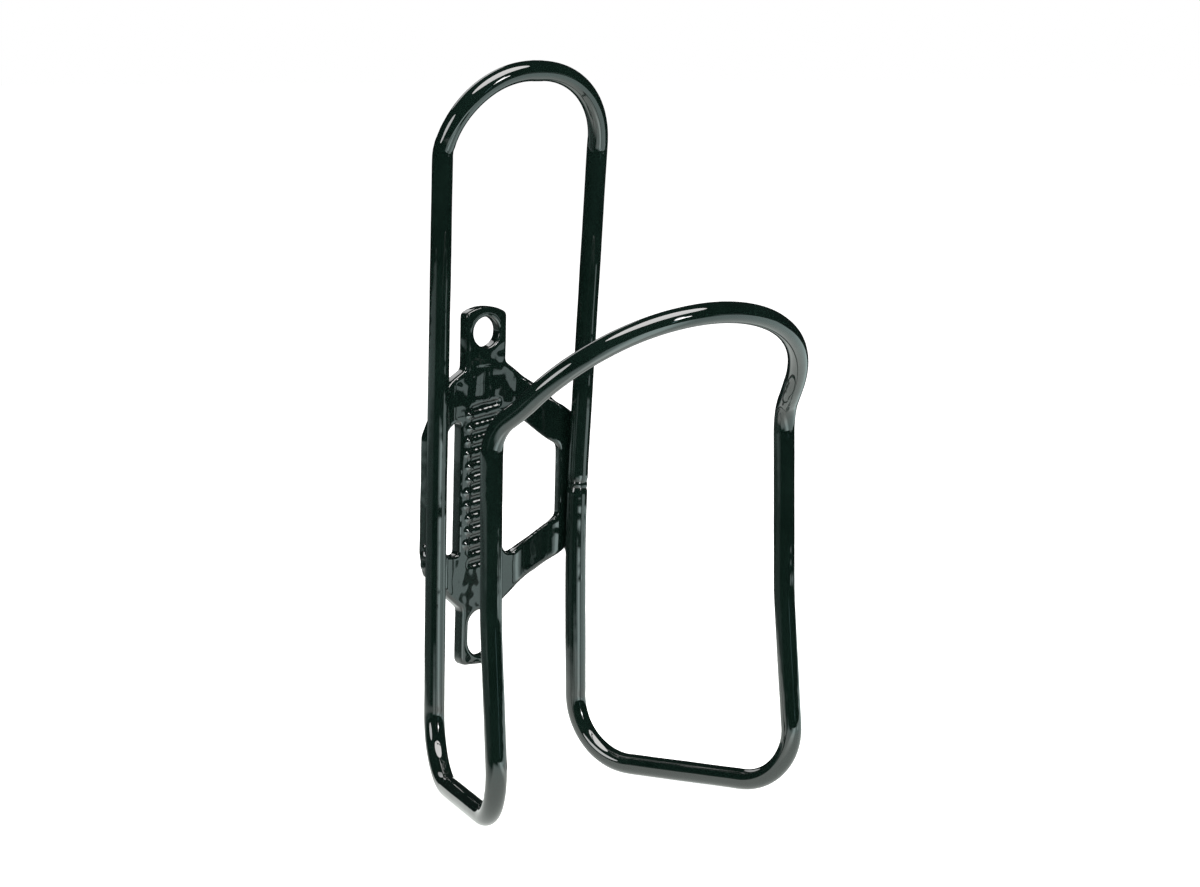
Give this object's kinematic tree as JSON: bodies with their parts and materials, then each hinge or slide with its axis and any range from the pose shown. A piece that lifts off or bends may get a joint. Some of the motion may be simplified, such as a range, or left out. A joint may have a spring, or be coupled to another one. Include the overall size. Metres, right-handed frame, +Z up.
{
  "type": "water bottle cage",
  "caption": "Bent-rod bicycle bottle cage: one closed rod loop grips the bottle, welded to a pressed plate that bolts to the frame.",
  "frame": {"origin": "on the mounting plate's back face, midway between the upper bolt hole and the lower bolt slot", "axes": "+Z runs up the frame tube towards the bottle's mouth, +Y points out of the plate's back into the frame tube, -Y points at the bottle, and X runs across the bottle"},
  "size_m": [0.0786, 0.0834, 0.1502],
  "materials": {
    "plate_enamel": "gloss green-black enamel",
    "rod_enamel": "high-gloss green-black enamel",
    "weld_enamel": "gloss green-black enamel over a weld bead"
  },
  "bodies": {
    "root": {"mounting_plate": "plate_enamel", "rod_loop": "rod_enamel", "butt_weld": "weld_enamel", "weld_upper_left": "weld_enamel", "weld_upper_right": "weld_enamel", "weld_lower_left": "weld_enamel", "weld_lower_right": "weld_enamel"}
  },
  "joints": []
}
